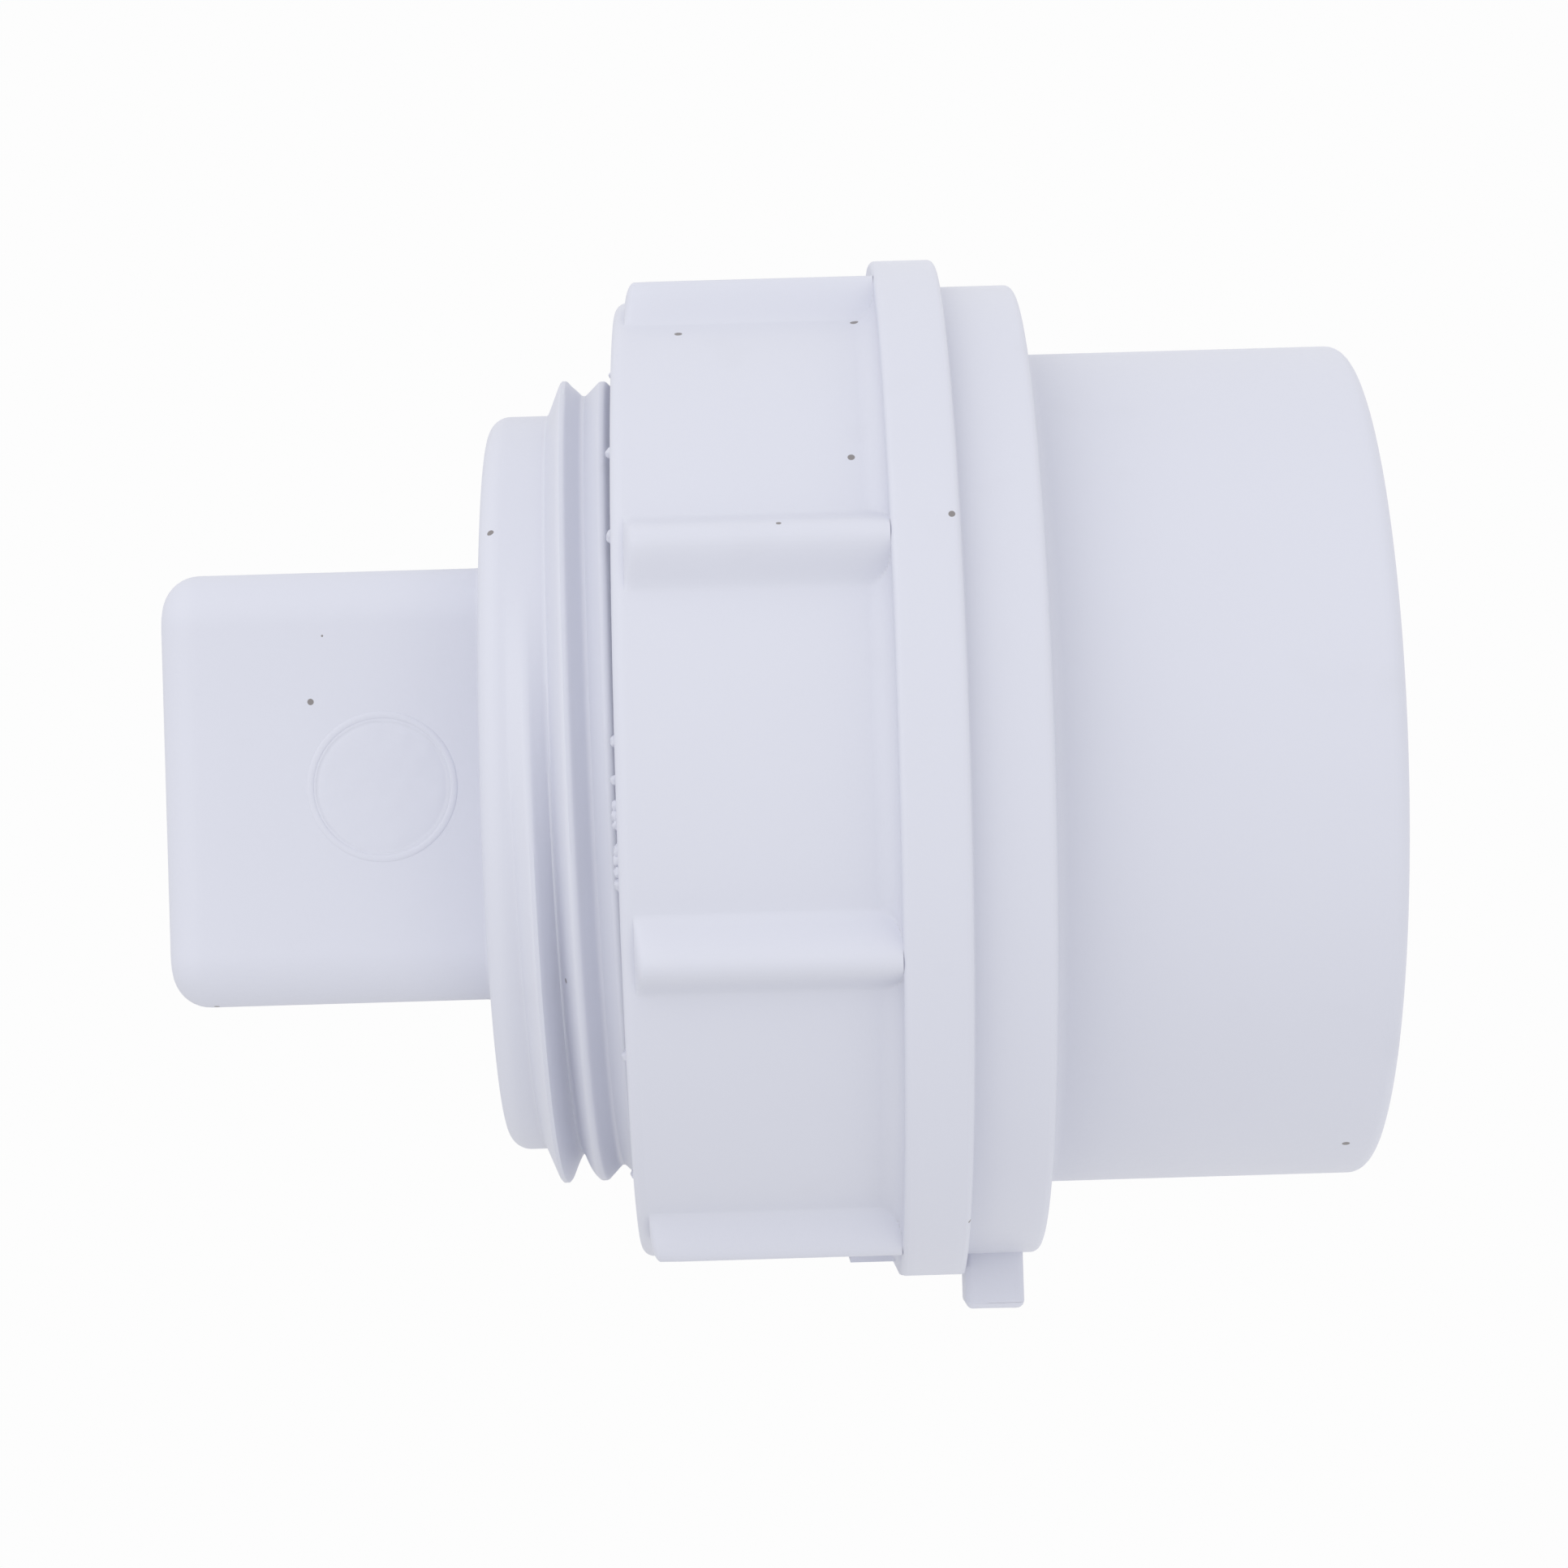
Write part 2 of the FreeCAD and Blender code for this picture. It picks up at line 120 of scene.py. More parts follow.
for edge in (math.acos(gate_flat_reach / band_radius), gate_pad_half / gate_pad_reach):
    for side in (-1, 1):
        for nudge in (-0.002, 0.002):
            adapter_angles.add(round(math.pi + side * edge + nudge, 6))
adapter_angles = sorted(adapter_angles)

spigot_end_middle = 23.0
spigot_top = stop_low - spigot_foot_round
stop_foot_radius = spigot_radius + spigot_foot_round
stop_edge_radius, stop_edge_low = stop_radius - stop_round, stop_low + stop_round
stop_top = band_low - band_underside_round
band_foot_radius = stop_radius + band_underside_round
band_edge_radius = band_radius - band_round
band_edge_low, band_edge_high = band_low + band_round, band_high - band_round
collar_low = band_high + band_foot_round

adapter_profile = [(waterway_radius + bore_edge_chamfer, 0.0), (spigot_end_middle, 0.0)]
adapter_profile += arc(spigot_radius - spigot_end_round, spigot_end_round, spigot_end_round, -90, 0)
adapter_profile += straight((spigot_radius, spigot_end_round), (spigot_radius, spigot_top), 18)
adapter_profile += arc(stop_foot_radius, spigot_top, spigot_foot_round, 180, 90, 6)
adapter_profile += straight((stop_foot_radius, stop_low), (stop_edge_radius, stop_low), 4)
adapter_profile += arc(stop_edge_radius, stop_edge_low, stop_round, -90, 0, 6)
adapter_profile += straight((stop_radius, stop_edge_low), (stop_radius, stop_top), 6)
adapter_profile += arc(band_foot_radius, stop_top, band_underside_round, 180, 90, 3)
adapter_profile += straight((band_foot_radius, band_low), (band_edge_radius, band_low), 3)
adapter_profile += arc(band_edge_radius, band_edge_low, band_round, -90, 0, 6)
adapter_profile += straight((band_radius, band_edge_low), (band_radius, band_edge_high), 6)
adapter_profile += arc(band_edge_radius, band_edge_high, band_round, 0, 90, 6)
adapter_profile += arc(collar_radius + band_foot_round, collar_low, band_foot_round, 270, 180, 12)
adapter_profile += straight((collar_radius, collar_low), (collar_radius, rib_end_start), 12)
for step in range(1, 11):
    rise = math.sin(math.radians(9 * step))
    adapter_profile.append((collar_radius, rib_end_start + rib_end_length * rise))
rim_radius = collar_radius - mouth_round
adapter_profile += arc(rim_radius, mouth_height - mouth_round, mouth_round, 0, 90, 8)
profile_row = 0
for row, (_, height) in enumerate(adapter_profile):
    if height < gate_pad_end:
        profile_row = row
adapter_profile[profile_row + 1 : profile_row + 1] = [
    (collar_radius, gate_pad_end - 0.08),
    (collar_radius, gate_pad_end + 0.02),
]


def adapter_outside(radius, height, angle):
    """Radius of the adapter's outside at a height and angle, with its ribs and gate marks."""
    from_gate = angle % math.tau - math.pi
    if band_low - 0.01 <= height <= band_high + 0.01 and abs(from_gate) < 0.3:
        radius = min(radius, gate_flat_reach / math.cos(from_gate))
    if height > band_high - 0.01:
        nearest = min(rib_angles, key=lambda rib: abs((angle - rib + math.pi) % math.tau - math.pi))
        across = ((angle - nearest + math.pi) % math.tau - math.pi) * collar_radius
        past = max(0.0, height - rib_end_start) / rib_end_length
        end = math.sqrt(max(0.0, 1 - past**2)) if past < 1 else 0.0
        lift = rib_height(across) * end
        if lift > 0:
            radius = max(radius, collar_radius + lift)
        if height <= gate_pad_end - 0.05 and abs(from_gate * gate_pad_reach) <= gate_pad_half:
            radius = max(radius, gate_pad_reach / math.cos(from_gate))
    return radius


class Skin:
    """Collects the patches of one moulding and joins them into a mesh."""

    def __init__(self):
        self.mesh = bmesh.new()

    def point(self, radius, height, angle):
        place = (radius * math.cos(angle) * MM, radius * math.sin(angle) * MM, height * MM)
        return self.mesh.verts.new(place)

    def quad(self, *corners):
        kept = []
        for corner in corners:
            if all((corner.co - other.co).length > 2e-7 for other in kept):
                kept.append(corner)
        if len(kept) > 2:
            self.mesh.faces.new(kept)

    def wrap(self, rows, shift=0):
        """Faces between closed rows; with shift, the last column joins a row that much further on."""
        columns = len(rows[0])
        for low, high in zip(range(len(rows) - 1), range(1, len(rows))):
            for column in range(columns):
                if column + 1 < columns:
                    self.quad(
                        rows[low][column],
                        rows[low][column + 1],
                        rows[high][column + 1],
                        rows[high][column],
                    )
                elif high + shift < len(rows):
                    self.quad(
                        rows[low][column],
                        rows[low + shift][0],
                        rows[high + shift][0],
                        rows[high][column],
                    )

    def finish(self, name, sharp_deg=32):
        bmesh.ops.remove_doubles(self.mesh, verts=self.mesh.verts, dist=1.5e-6)
        bmesh.ops.dissolve_degenerate(self.mesh, edges=self.mesh.edges, dist=1e-7)
        loose = [vert for vert in self.mesh.verts if not vert.link_faces]
        bmesh.ops.delete(self.mesh, geom=loose, context="VERTS")
        bmesh.ops.recalc_face_normals(self.mesh, faces=self.mesh.faces)
        for face in self.mesh.faces:
            face.smooth = True
        data = bpy.data.meshes.new(name)
        self.mesh.to_mesh(data)
        self.mesh.free()
        data.set_sharp_from_angle(angle=math.radians(sharp_deg))
        made = bpy.data.objects.new(name, data)
        bpy.context.scene.collection.objects.link(made)
        return made


# The socket thread: a right-hand taper thread, 11.5 to the inch, cut off square at the floor and
# countersunk at the mouth. Its rows follow the helix, so its crests and roots stay crisp.
pitch = 2.2087
taper = 0.03125
crest_at_mouth = 23.25
groove_at_zero = 43.99
thread_depth = 0.85
socket_gap = 0.2
corner_softness = 0.14
socket_rows_per_turn = 14


def taper_radius(height):
    return crest_at_mouth + (height - mouth_height) * taper


def groove_share(from_groove, root_half, crest_half):
    """1 in the groove's root, 0 on the crest, with softened corners between."""
    run = (pitch / 2 - crest_half - abs(from_groove)) / (pitch / 2 - crest_half - root_half)
    run = max(0.0, min(1.0, run))
    if run < corner_softness:
        return run * run / (2 * corner_softness) / (1 - corner_softness)
    if run > 1 - corner_softness:
        return 1 - (1 - run) ** 2 / (2 * corner_softness) / (1 - corner_softness)
    return (run - corner_softness / 2) / (1 - corner_softness)


def from_nearest_groove(height, angle):
    """Height above the nearest groove's centre at that angle, and how many turns up it is."""
    above = height - groove_at_zero - pitch * angle / math.tau
    turn = round(above / pitch)
    return above - turn * pitch, turn


def socket_radius(height, angle):
    from_groove, _ = from_nearest_groove(height, angle)
    share = groove_share(from_groove, 0.06, 0.16)
    radius = taper_radius(height) + socket_gap - thread_depth * share
    return max(radius, countersink_radius - (mouth_height - height))


def helix_rows(skin, angles, low, high, per_turn, radius_at):
    """Rows of points along the helix between two heights, squared off at both ends."""
    start = math.floor((low - groove_at_zero) / pitch) - 1
    end = math.ceil((high - groove_at_zero) / pitch)
    rows = []
    for turn in range(start, end + 1):
        for step in range(per_turn):
            row = []
            for angle in angles:
                height = groove_at_zero + pitch * (turn + step / per_turn + angle / math.tau)
                height = max(low, min(high, height))
                row.append(skin.point(radius_at(height, angle), height, angle))
            rows.append(row)
    return rows


adapter = Skin()
rows = []
for radius, height in adapter_profile:
    row = []
    for angle in adapter_angles:
        row.append(adapter.point(adapter_outside(radius, height, angle), height, angle))
    rows.append(row)
adapter.wrap(rows)
thread_rows = helix_rows(
    adapter, adapter_angles, thread_floor, mouth_height, socket_rows_per_turn, socket_radius
)
adapter.wrap(thread_rows, shift=socket_rows_per_turn)
rim_middle = 25.4
rows = []
for radius in (rim_radius, rim_middle):
    rows.append([adapter.point(radius, mouth_height, angle) for angle in adapter_angles])
rows.append(
    [
        adapter.point(socket_radius(mouth_height, angle), mouth_height, angle)
        for angle in adapter_angles
    ]
)
adapter.wrap(rows)
rows = [
    [
        adapter.point(socket_radius(thread_floor, angle), thread_floor, angle)
        for angle in adapter_angles
    ]
]
waterway_middle = 12.0
bore = [(waterway_radius, waterway_top), (waterway_radius, waterway_middle)]
bore.append((waterway_radius, bore_edge_chamfer))
bore.append((waterway_radius + bore_edge_chamfer, 0.0))
for radius, height in bore:
    rows.append([adapter.point(radius, height, angle) for angle in adapter_angles])
adapter.wrap(rows)
adapter_piece = adapter.finish("adapter_moulding")
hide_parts("adapter_body")
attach(adapter_piece, "adapter")


# White rigid PVC: bluish, semi-matt from the mould, with a few burnt specks and faint smudges.
class Socket:
    """A shader socket that adds, subtracts, multiplies and compares by laying Math nodes."""

    def __init__(self, tree, link):
        self.tree, self.link = tree, link

    def math(self, operation, other, flipped=False):
        first, second = (other, self) if flipped else (self, other)
        made = self.tree.node("ShaderNodeMath", {"operation": operation}, {0: first, 1: second})
        return made.out("Value")

    def __add__(self, other):
        return self.math("ADD", other)

    def __sub__(self, other):
        return self.math("SUBTRACT", other)

    def __mul__(self, other):
        return self.math("MULTIPLY", other)

    def __gt__(self, other):
        return self.math("GREATER_THAN", other)

    def __lt__(self, other):
        return self.math("LESS_THAN", other)

    def __rsub__(self, other):
        return self.math("SUBTRACT", other, flipped=True)

    __radd__ = __add__
    __rmul__ = __mul__


class Node:
    """A laid node, whose outputs are asked for by name."""

    def __init__(self, tree, made):
        self.tree, self.made = tree, made

    def out(self, name):
        return Socket(self.tree, self.made.outputs[name])


class Tree:
    """The node tree of a material or of the surround."""

    def __init__(self, owner):
        self.owner = owner
        self.owner.use_nodes = True
        self.nodes = self.owner.node_tree.nodes
        self.links = self.owner.node_tree.links
        self.nodes.clear()

    def node(self, kind, settings=None, sockets=None):
        made = self.nodes.new(kind)
        for key, setting in (settings or {}).items():
            if key == "stops":
                for index, (position, shade) in enumerate(setting):
                    if index > 1:
                        made.color_ramp.elements.new(position)
                    made.color_ramp.elements[index].position = position
                    made.color_ramp.elements[index].color = (shade, shade, shade, 1)
            else:
                setattr(made, key, setting)
        for key, value in (sockets or {}).items():
            if isinstance(value, Socket):
                self.links.new(value.link, made.inputs[key])
            else:
                made.inputs[key].default_value = value
        return Node(self, made)


pvc_white, pvc_smudge, burnt_speck = (0.650, 0.664, 0.752), (0.50, 0.50, 0.55), (0.16, 0.14, 0.13)
smallest_speck, speck_size_spread = 0.025, 0.045
speck_rarity = 0.62


def moulded_pvc(name, speck_seed):
    """The moulding's white, mottled and specked; another seed puts its specks elsewhere."""
    tree = Tree(bpy.data.materials.new(name))
    place = tree.node("ShaderNodeTexCoord").out("Object")
    shifted = tree.node(
        "ShaderNodeVectorMath", {"operation": "ADD"}, {0: place, 1: (speck_seed, 0.0, 0.0)}
    ).out("Vector")
    cloud = tree.node(
        "ShaderNodeTexNoise", {}, {"Vector": shifted, "Scale": 90.0, "Detail": 3.0}
    ).out("Fac")
    grain = tree.node(
        "ShaderNodeTexNoise", {}, {"Vector": shifted, "Scale": 2600.0, "Detail": 2.0}
    ).out("Fac")
    ripple = tree.node(
        "ShaderNodeTexNoise", {}, {"Vector": shifted, "Scale": 380.0, "Detail": 2.0}
    ).out("Fac")
    smudge_spread = tree.node(
        "ShaderNodeTexNoise", {}, {"Vector": shifted, "Scale": 160.0, "Detail": 2.0}
    ).out("Fac")
    smudge = tree.node(
        "ShaderNodeValToRGB", {"stops": [(0.66, 0.0), (0.78, 1.0)]}, {"Fac": smudge_spread}
    ).out("Color")
    cells = tree.node(
        "ShaderNodeTexVoronoi", {"feature": "F1"}, {"Vector": shifted, "Scale": 240.0}
    )
    lottery = tree.node("ShaderNodeSeparateColor", {}, {"Color": cells.out("Color")})
    size = lottery.out("Green") * speck_size_spread + smallest_speck
    speck = (cells.out("Distance") < size) * (lottery.out("Red") > speck_rarity)
    shade = cloud * 0.5 + smudge * 0.5
    mottled = tree.node(
        "ShaderNodeMix",
        {"data_type": "RGBA"},
        {"Factor": shade * 0.16, 6: (*pvc_white, 1.0), 7: (*pvc_smudge, 1.0)},
    )
    mottled_colour = Socket(tree, mottled.made.outputs[2])
    specked = tree.node(
        "ShaderNodeMix",
        {"data_type": "RGBA"},
        {"Factor": speck * 0.85, 6: mottled_colour, 7: (*burnt_speck, 1.0)},
    )
    specked_colour = Socket(tree, specked.made.outputs[2])
    roughness = grain * 0.10 + cloud * 0.10 + 0.34
    relief = grain * 0.35 + ripple * 0.65
    bump = tree.node(
        "ShaderNodeBump", {}, {"Strength": 0.16, "Distance": 0.00012, "Height": relief}
    ).out("Normal")
    surface = tree.node(
        "ShaderNodeBsdfPrincipled",
        {},
        {
            "Base Color": specked_colour,
            "Roughness": roughness,
            "Normal": bump,
            "IOR": 1.5,
        },
    )
    tree.node("ShaderNodeOutputMaterial", {}, {"Surface": surface.out("BSDF")})
    return tree.owner


adapter_pvc = moulded_pvc("adapter_pvc", 0.0)
adapter_piece.data.materials.append(adapter_pvc)

# Gate nub: the stub of the sprue on the stop disc, trimmed by hand, its end a little uneven.
nub_low, nub_high = (-31.37, -2.2, 19.95), (-27.2, 2.2, 23.35)
nub_edge_round, trim_from, trim_depth = 0.5, -31.0, 0.09
nub_mesh = bmesh.new()
bmesh.ops.create_cube(nub_mesh, size=1.0)
for vert in nub_mesh.verts:
    for axis in range(3):
        span = nub_high[axis] - nub_low[axis]
        vert.co[axis] = (nub_low[axis] + (vert.co[axis] + 0.5) * span) * MM
bmesh.ops.bevel(
    nub_mesh, geom=nub_mesh.edges, offset=nub_edge_round * MM, segments=5, affect="EDGES", profile=0.5
)
bmesh.ops.subdivide_edges(nub_mesh, edges=nub_mesh.edges, cuts=2, use_grid_fill=True)
for vert in nub_mesh.verts:
    if vert.co.x < trim_from * MM:
        vert.co.x += trim_depth * MM * (1 + noise.noise(vert.co / MM * 1.3))
for face in nub_mesh.faces:
    face.smooth = True
nub_data = bpy.data.meshes.new("gate_nub")
nub_mesh.to_mesh(nub_data)
nub_mesh.free()
gate_nub = bpy.data.objects.new("gate_nub", nub_data)
bpy.context.scene.collection.objects.link(gate_nub)
gate_nub.data.materials.append(adapter_pvc)
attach(gate_nub, "adapter")

# Mouth flash: small torn crumbs of plastic left on the inner edge of the mouth by the thread core.
flash_places = [-98.5, -97.4, -96.1, -101.8, -103.0, -104.6, -106.2, -92.9, -88.0, -60.0, -131.0]
flash_places += [-45.0, -20.0, 12.0, 40.0, 77.0, 110.0, 139.0, 171.0, 200.0]
flash_radius, flash_height, crumb_half = 24.12, 41.98, 0.30
flash_mesh = bmesh.new()
for number, degrees in enumerate(flash_places):
    crumb = bmesh.ops.create_icosphere(flash_mesh, subdivisions=3, radius=1.0)
    angle = math.radians(degrees)
    long = crumb_half + 0.22 * abs(noise.noise(Vector((number * 1.7, 0.3, 0.0))))
    for vert in crumb["verts"]:
        lump = 1 + 0.35 * noise.noise(vert.co * 1.6 + Vector((number * 3.1, 0, 0)))
        radius = flash_radius + vert.co.x * 0.32 * lump
        place = angle + vert.co.y * long * lump / 24.0
        height = flash_height + vert.co.z * crumb_half * lump
        vert.co = Vector((radius * math.cos(place), radius * math.sin(place), height)) * MM
for face in flash_mesh.faces:
    face.smooth = True
flash_data = bpy.data.meshes.new("mouth_flash")
flash_mesh.to_mesh(flash_data)
flash_mesh.free()
mouth_flash = bpy.data.objects.new("mouth_flash", flash_data)
bpy.context.scene.collection.objects.link(mouth_flash)
mouth_flash.data.materials.append(adapter_pvc)
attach(mouth_flash, "adapter")

# ---------------------------------------------------------------------------------------------
# Cleanout plug. One injection moulding in the same PVC: a hollow skirt with the matching outside
# thread, a round shoulder and a hollow square head for a wrench. It screws into the adapter.
plug_tip, tip_chamfer = 26.95, 1.3
plug_columns, plug_rows_per_turn = 480, 20
plug_angles = [math.tau * column / plug_columns for column in range(plug_columns)]
plug_turned = math.radians(-2.8)
thread_top = 48.15
run_out_top, run_out_length = 45.7, 1.4
shoulder_radius, shoulder_face, shoulder_round = 21.37, 49.45, 1.2
head_half, head_corner, head_top, head_end_round = 12.15, 3.0, 67.7, 2.1
head_foot_round = 0.6
ridge_end, ridge_fade = 36.0, 85.0
facing = plug_turned - math.pi / 2


def plug_radius(height, angle):
    """Outside radius of the threaded skirt: the ridge sinks into the shoulder where it ends."""
    to_shoulder = max(0.0, min(1.0, (run_out_top - height) / run_out_length))
    to_shoulder = to_shoulder * to_shoulder * (3 - 2 * to_shoulder)
    root = shoulder_radius + (taper_radius(height) - thread_depth - shoulder_radius) * to_shoulder
    turns = (height - groove_at_zero) / pitch - angle / math.tau
    along = math.degrees(angle - facing) - 360 + 360 * math.floor(turns)
    rise = max(0.0, min(1.0, (ridge_end - along) / ridge_fade))
    rise = rise * rise * (3 - 2 * rise)
    from_groove, _ = from_nearest_groove(height, angle)
    crest = taper_radius(height) - root
    radius = root + crest * rise * (1 - groove_share(from_groove, 0.04, 0.10))
    lead = max(0.0, plug_tip + tip_chamfer - height)
    return min(radius, taper_radius(height) - lead)


def square_radius(half, corner, angle):
    """Distance from the axis to a round-cornered square's side at that angle."""
    local = (angle - plug_turned + math.pi / 4) % (math.pi / 2) - math.pi / 4
    side = half / math.cos(local)
    if abs(side * math.sin(local)) <= half - corner:
        return side
    centre = half - corner
    reach = centre * (math.cos(local) + math.sin(abs(local)))
    return reach + math.sqrt(max(0.0, reach**2 - 2 * centre**2 + corner**2))


plug = Skin()
thread_rows = helix_rows(plug, plug_angles, plug_tip, thread_top, plug_rows_per_turn, plug_radius)
plug.wrap(thread_rows, shift=plug_rows_per_turn)
rows = [[plug.point(plug_radius(thread_top, angle), thread_top, angle) for angle in plug_angles]]
shoulder_edge = shoulder_face - shoulder_round
face_radius, face_inside = shoulder_radius - shoulder_round, 17.6
shoulder_profile = straight((shoulder_radius, thread_top), (shoulder_radius, shoulder_edge), 4)
shoulder_profile += arc(face_radius, shoulder_edge, shoulder_round, 0, 90, 10)
shoulder_profile += straight((face_radius, shoulder_face), (face_inside, shoulder_face), 4)
for radius, height in shoulder_profile:
    rows.append([plug.point(radius, height, angle) for angle in plug_angles])
head_rings = []
for step in range(7):
    turn = math.radians(15 * step)
    outset = head_foot_round * (1 - math.sin(turn))
    height = shoulder_face + head_foot_round * (1 - math.cos(turn))
    head_rings.append((head_half + outset, head_corner + outset, height))
head_low, head_high = shoulder_face + head_foot_round, head_top - head_end_round
for step in range(1, 9):
    height = head_low + (head_high - head_low) * step / 8
    head_rings.append((head_half, head_corner, height))
corner_inset = 0.95
for step in range(1, 11):
    turn = math.radians(9 * step)
    inset = head_end_round * (1 - math.cos(turn))
    height = head_top - head_end_round * (1 - math.sin(turn))
    head_rings.append((head_half - inset, head_corner - inset * corner_inset, height))
end_half, end_corner = head_half - head_end_round, head_corner - head_end_round * corner_inset
for step in range(1, 8):
    share = 1 - step / 8
    head_rings.append((end_half * share, end_corner * share, head_top))
for half, corner, height in head_rings:
    rows.append([plug.point(square_radius(half, corner, angle), height, angle) for angle in plug_angles])
plug.wrap(rows)
cap_centre = plug.mesh.verts.new((0, 0, head_top * MM))
for column in range(plug_columns):
    plug.quad(cap_centre, rows[-1][column], rows[-1][(column + 1) % plug_columns])

skirt_inside, web_underside, web_round = 17.83, 43.7, 1.0
hollow_half, hollow_middle, hollow_top = 8.85, 54.0, 64.4
hollow_corner, hollow_foot_chamfer, hollow_top_chamfer = 1.0, 0.4, 0.6
rows = [[plug.point(plug_radius(plug_tip, angle), plug_tip, angle) for angle in plug_angles]]
rows.append([plug.point(skirt_inside, plug_tip, angle) for angle in plug_angles])
rows.append([plug.point(skirt_inside, web_underside - web_round, angle) for angle in plug_angles])
for radius, height in arc(skirt_inside - web_round, web_underside - web_round, web_round, 0, 90, 5):
    rows.append([plug.point(radius, height, angle) for angle in plug_angles])
for half, corner, height in (
    (hollow_half + hollow_foot_chamfer, hollow_corner + hollow_foot_chamfer, web_underside),
    (hollow_half, hollow_corner, web_underside + hollow_foot_chamfer),
    (hollow_half, hollow_corner, hollow_middle),
    (hollow_half, hollow_corner, hollow_top - hollow_top_chamfer),
    (hollow_half - hollow_top_chamfer, 0.5, hollow_top),
    (hollow_half * 0.5, 0.4, hollow_top),
):
    rows.append([plug.point(square_radius(half, corner, angle), height, angle) for angle in plug_angles])
plug.wrap(rows)
roof_centre = plug.mesh.verts.new((0, 0, hollow_top * MM))
for column in range(plug_columns):
    plug.quad(roof_centre, rows[-1][column], rows[-1][(column + 1) % plug_columns])
plug_piece = plug.finish("cleanout_plug_moulding")
plug_pvc = moulded_pvc("plug_pvc", 0.37)
plug_piece.data.materials.append(plug_pvc)
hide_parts("cleanout_plug", "plug_shoulder")
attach(plug_piece, "plug")

# Ring mark: a fine raised ring around the ejector's rough round patch, on one flat of the head.
mark_centre_height = 55.4
mark_radius, mark_bead, mark_rise, mark_sunk = 4.0, 0.20, 0.075, 0.02
flat_out = Vector((math.cos(facing), math.sin(facing), 0.0))
flat_side = Vector((-math.sin(facing), math.cos(facing), 0.0))


def on_flat(reach, turn, rise):
    """A point on the head's flat, at polar place reach and turn about the mark's centre."""
    place = flat_out * (head_half + rise) + flat_side * (reach * math.cos(turn))
    place += Vector((0, 0, mark_centre_height + reach * math.sin(turn)))
    return place * MM


mark_mesh = bmesh.new()
mark_turns = 120
mark_reaches = [(0.35 * step, 0) for step in range(1, 11)]
mark_reaches += [(mark_radius + mark_bead * math.sin(math.radians(15 * step)), step) for step in range(-6, 7)]
mark_rows = []
for reach, step in mark_reaches:
    row = []
    for number in range(mark_turns):
        turn = math.tau * number / mark_turns
        if reach < mark_radius - mark_bead - 0.1:
            spot = Vector((reach * math.cos(turn), reach * math.sin(turn), 4.2))
            rise = 0.035 + 0.03 * noise.noise(spot * 0.9) + 0.012 * noise.noise(spot * 2.5)
        else:
            rise = mark_rise * math.cos(math.radians(15 * step)) - mark_sunk
            rise *= 0.85 + 0.15 * noise.noise(Vector((math.cos(turn), math.sin(turn), 0.5)) * 2.5)
        row.append(mark_mesh.verts.new(on_flat(reach, turn, rise)))
    mark_rows.append(row)
mark_middle = mark_mesh.verts.new(on_flat(0.0, 0.0, 0.05))
for number in range(mark_turns):
    after = (number + 1) % mark_turns
    mark_mesh.faces.new((mark_middle, mark_rows[0][number], mark_rows[0][after]))
    for low, high in zip(mark_rows, mark_rows[1:]):
        mark_mesh.faces.new((low[number], high[number], high[after], low[after]))
bmesh.ops.recalc_face_normals(mark_mesh, faces=mark_mesh.faces)
for face in mark_mesh.faces:
    face.smooth = True
mark_data = bpy.data.meshes.new("head_ring_mark")
mark_mesh.to_mesh(mark_data)
mark_mesh.free()
ring_mark = bpy.data.objects.new("head_ring_mark", mark_data)
bpy.context.scene.collection.objects.link(ring_mark)
ring_mark.data.materials.append(plug_pvc)
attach(ring_mark, "plug")

# ---------------------------------------------------------------------------------------------
# Studio: a plain pale floor under the spigot, a white surround whose light is a little stronger
# from the camera's side and from +X, and one large soft lamp.
studio_white = 0.982
floor_mesh = bpy.data.meshes.new("floor")
side, below = 4.0, -0.0002
floor_mesh.from_pydata(
    [(-side, -side, below), (side, -side, below), (side, side, below), (-side, side, below)],
    [],
    [(0, 1, 2, 3)],
)
floor = bpy.data.objects.new("floor", floor_mesh)
bpy.context.scene.collection.objects.link(floor)
floor_tree = Tree(bpy.data.materials.new("pale_floor"))
glow = floor_tree.node(
    "ShaderNodeEmission", {}, {"Color": (1.0, 1.0, 1.0, 1.0), "Strength": studio_white}
)
floor_tree.node("ShaderNodeOutputMaterial", {}, {"Surface": glow.out("Emission")})
floor.data.materials.append(floor_tree.owner)
floor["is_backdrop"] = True

surround = Tree(bpy.data.worlds.new("studio"))
toward = surround.node("ShaderNodeTexCoord").out("Generated")
split = surround.node("ShaderNodeSeparateXYZ", {}, {"Vector": toward})
dome = split.out("X") * 0.13 - split.out("Y") * 0.14 + 0.91
lit = surround.node(
    "ShaderNodeBackground", {}, {"Color": (1.0, 1.0, 1.0, 1.0), "Strength": dome}
)
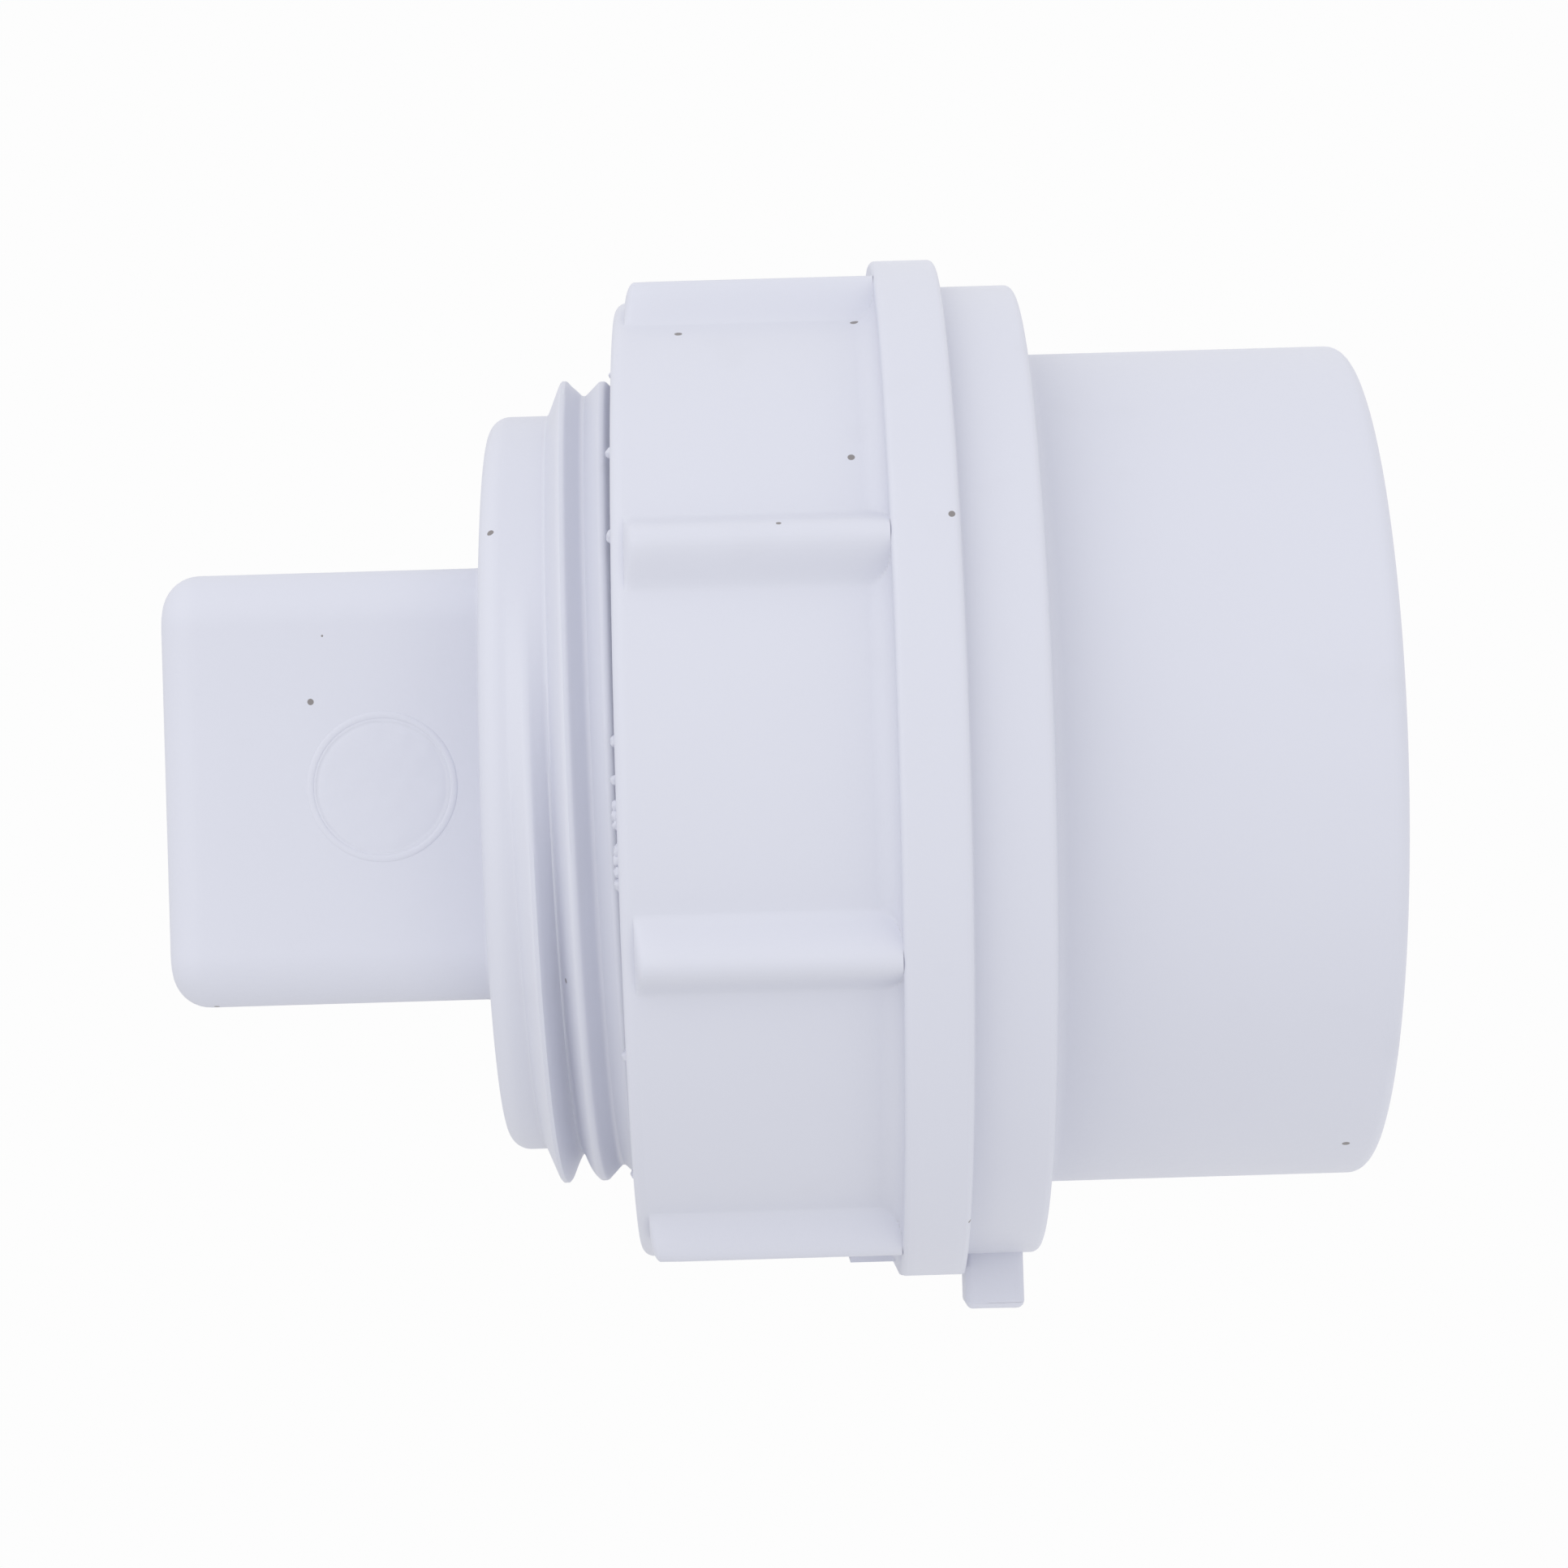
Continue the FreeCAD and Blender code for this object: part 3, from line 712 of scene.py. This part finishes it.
seen = surround.node(
    "ShaderNodeBackground", {}, {"Color": (1.0, 1.0, 1.0, 1.0), "Strength": studio_white}
)
first_sight = surround.node("ShaderNodeLightPath").out("Is Camera Ray")
both = surround.node(
    "ShaderNodeMixShader",
    {},
    {0: first_sight, 1: lit.out("Background"), 2: seen.out("Background")},
)
surround.node("ShaderNodeOutputWorld", {}, {"Surface": both.out("Shader")})
bpy.context.scene.world = surround.owner
bpy.context.scene.view_settings.view_transform = "Standard"

to_camera = Vector((math.cos(facing), math.sin(facing), 0.0))
picture_up = Vector((-math.sin(facing), math.cos(facing), 0.0))
picture_left = Vector((0.0, 0.0, 1.0))
lamp_data = bpy.data.lights.new("key_lamp", "AREA")
lamp_data.shape = "DISK"
lamp_data.size = 1.1
lamp_data.energy = 1.0
lamp = bpy.data.objects.new("key_lamp", lamp_data)
lamp_from = (to_camera * 0.70 + picture_up * 0.48 + picture_left * 0.54).normalized()
lamp_distance = 0.7
lamp.location = Vector((0.0, 0.0, 0.033)) + lamp_from * lamp_distance
lamp.rotation_mode = "QUATERNION"
lamp.rotation_quaternion = (-lamp_from).to_track_quat("-Z", "Y")
bpy.context.scene.collection.objects.link(lamp)

# Camera: square on to the pipe axis, which lies across the picture with the head to the left.
camera_data = bpy.data.cameras.new("camera")
camera_data.sensor_width = 36.0
camera_data.lens = 93.97
camera_data.clip_start = 0.01
camera = bpy.data.objects.new("camera", camera_data)
bpy.context.scene.collection.objects.link(camera)
square_on = Matrix((-picture_left, picture_up, to_camera)).transposed()
roll, yaw = 0.029, 0.008
leaning = Matrix.Rotation(roll, 3, "Z") @ Matrix.Rotation(yaw, 3, "Y")
turned = square_on @ leaning.transposed()
axis_point = Vector((0.0, 0.0, 32.93)) * MM
camera_distance = 240.0
stand = axis_point - turned @ (Vector((0.016, 0.50, -camera_distance)) * MM)
camera.matrix_world = Matrix.Translation(stand) @ turned.to_4x4()
bpy.context.scene.camera = camera

bpy.context.view_layer.update()
low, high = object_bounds()
